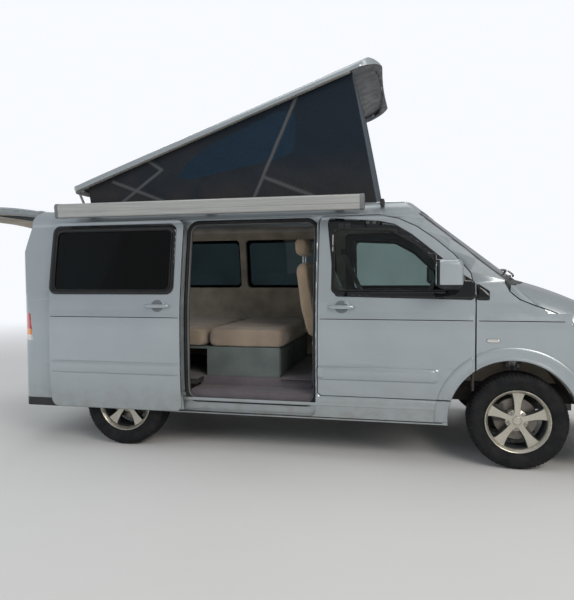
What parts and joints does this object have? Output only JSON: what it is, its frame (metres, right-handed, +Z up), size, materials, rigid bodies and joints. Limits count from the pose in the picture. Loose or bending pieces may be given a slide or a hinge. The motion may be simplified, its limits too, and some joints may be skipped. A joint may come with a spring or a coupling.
{
  "type": "camper van",
  "caption": "Compact camper van with its pop-up roof raised, sliding side door and tailgate open, folded bed, front doors, bonnet and steered wheels that move.",
  "frame": {"origin": "on the ground under the middle of the overall box, tailgate and mirrors included", "axes": "+X forward towards the bonnet, +Y towards the van's left side, +Z up"},
  "size_m": [5.7952, 2.282, 3.0068],
  "materials": {
    "paint": "metallic satin",
    "glass": "tinted",
    "black_plastic": "grained",
    "cab_plastic": "grained",
    "lamp_lens": "clear",
    "red_lens": "clear red",
    "chassis_steel": "satin black",
    "knuckle_iron": "as cast",
    "engine_metal": "as cast",
    "radiator_metal": "finned",
    "tank_plastic": "moulded",
    "seat_cloth": "woven",
    "bed_cloth": "woven",
    "furniture_board": "grey-green laminate",
    "arm_steel": "satin",
    "tent_cloth": "coated canvas",
    "awning_aluminium": "anodised",
    "alloy": "painted silver",
    "tyre": "rubber"
  },
  "bodies": {
    "van_body": {"awning_brackets": "arm_steel", "awning_caps": "black_plastic", "awning_case": "awning_aluminium", "bed_cushions": "bed_cloth", "bed_platform": "furniture_board", "bench_base": "furniture_board", "body_side_left": "paint", "body_side_right": "paint", "bulkhead": "chassis_steel", "cowl": "black_plastic", "dashboard": "cab_plastic", "driver_seat": "seat_cloth", "engine": "engine_metal", "exhaust": "chassis_steel", "floor": "chassis_steel", "front_bumper": "paint", "front_struts": "chassis_steel", "front_subframe": "chassis_steel", "front_wing_left": "paint", "front_wing_right": "paint", "fuel_tank": "tank_plastic", "grille": "black_plastic", "headlamps": "lamp_lens", "passenger_seat": "seat_cloth", "radiator": "radiator_metal", "rear_axle": "chassis_steel", "rear_bumper": "paint", "roof_frame": "paint", "side_glass": "glass", "sliding_door": "paint", "sliding_door_glass": "glass", "steering_column": "cab_plastic", "tail_lamps": "red_lens", "tent": "tent_cloth", "wheel_housings": "black_plastic", "windscreen": "glass"},
    "front_door_left": {"front_door_left": "paint", "front_door_glass_left": "glass", "mirror_left": "black_plastic"},
    "front_door_right": {"front_door_right": "paint", "front_door_glass_right": "glass", "mirror_right": "black_plastic"},
    "tailgate": {"tailgate": "paint", "tailgate_glass": "glass"},
    "bonnet": {"bonnet": "paint"},
    "knuckle_left": {"knuckle_left": "knuckle_iron"},
    "wheel_front_left": {"wheel_front_left": "alloy", "tyre_front_left": "tyre"},
    "wheel_rear_left": {"wheel_rear_left": "alloy", "tyre_rear_left": "tyre"},
    "knuckle_right": {"knuckle_right": "knuckle_iron"},
    "wheel_front_right": {"wheel_front_right": "alloy", "tyre_front_right": "tyre"},
    "wheel_rear_right": {"wheel_rear_right": "alloy", "tyre_rear_right": "tyre"},
    "steering_wheel": {"steering_wheel": "cab_plastic"},
    "roof_links": {"roof_links": "arm_steel"},
    "pop_roof": {"pop_roof": "paint"},
    "roof_struts": {"roof_struts": "arm_steel"}
  },
  "joints": [
    {"name": "front_door_left_hinge", "type": "hinge", "parent": "van_body", "child": "front_door_left", "pos_m": [1.6966, 0.93, 0.82], "axis": [0, 0, -1], "range_deg": [0, 62]},
    {"name": "front_door_right_hinge", "type": "hinge", "parent": "van_body", "child": "front_door_right", "pos_m": [1.6966, -0.93, 0.82], "axis": [0, 0, 1], "range_deg": [0, 62]},
    {"name": "tailgate_hinge", "type": "hinge", "parent": "van_body", "child": "tailgate", "pos_m": [-1.8164, 0, 1.918], "axis": [0, 1, 0], "range_deg": [-84, 0]},
    {"name": "bonnet_hinge", "type": "hinge", "parent": "van_body", "child": "bonnet", "pos_m": [1.9336, 0, 1.34], "axis": [0, -1, 0], "range_deg": [0, 50]},
    {"name": "steer_left", "type": "hinge", "parent": "van_body", "child": "knuckle_left", "pos_m": [2.0036, 0.754, 0.338], "axis": [0, 0, 1], "range_deg": [-33, 33]},
    {"name": "steer_right", "type": "hinge", "parent": "van_body", "child": "knuckle_right", "pos_m": [2.0036, -0.754, 0.338], "axis": [0, 0, 1], "range_deg": [-33, 33]},
    {"name": "spin_front_left", "type": "hinge", "parent": "knuckle_left", "child": "wheel_front_left", "pos_m": [2.0036, 0.814, 0.338], "axis": [0, 1, 0], "continuous": true},
    {"name": "spin_rear_left", "type": "hinge", "parent": "van_body", "child": "wheel_rear_left", "pos_m": [-0.9964, 0.814, 0.338], "axis": [0, 1, 0], "continuous": true},
    {"name": "spin_front_right", "type": "hinge", "parent": "knuckle_right", "child": "wheel_front_right", "pos_m": [2.0036, -0.814, 0.338], "axis": [0, 1, 0], "continuous": true},
    {"name": "spin_rear_right", "type": "hinge", "parent": "van_body", "child": "wheel_rear_right", "pos_m": [-0.9964, -0.814, 0.338], "axis": [0, 1, 0], "continuous": true},
    {"name": "steering_wheel_turn", "type": "hinge", "parent": "van_body", "child": "steering_wheel", "pos_m": [1.3936, 0.43, 1.13], "axis": [-0.8829, 0, 0.4695], "range_deg": [-495, 495]},
    {"name": "roof_link_swing", "type": "hinge", "parent": "van_body", "child": "roof_links", "pos_m": [-1.4564, 0, 1.946], "axis": [0, -1, 0], "range_deg": [0, 66]},
    {"name": "roof_lid_tilt", "type": "hinge", "parent": "roof_links", "child": "pop_roof", "pos_m": [-1.52148, 0, 2.09217], "axis": [0, 1, 0], "range_deg": [0, 85.35], "deforming": ["tent"]},
    {"name": "roof_strut_swing", "type": "hinge", "parent": "van_body", "child": "roof_struts", "pos_m": [0.0456, 0, 1.946], "axis": [0, 1, 0], "range_deg": [0, 64.4]}
  ],
  "couplings": [
    {"joint": "steer_right", "follows": "steer_left", "ratio": 1},
    {"joint": "steering_wheel_turn", "follows": "steer_left", "ratio": 15},
    {"joint": "roof_link_swing", "follows": "roof_lid_tilt", "ratio": 0.77329},
    {"joint": "roof_strut_swing", "follows": "roof_lid_tilt", "ratio": 0.75454}
  ]
}
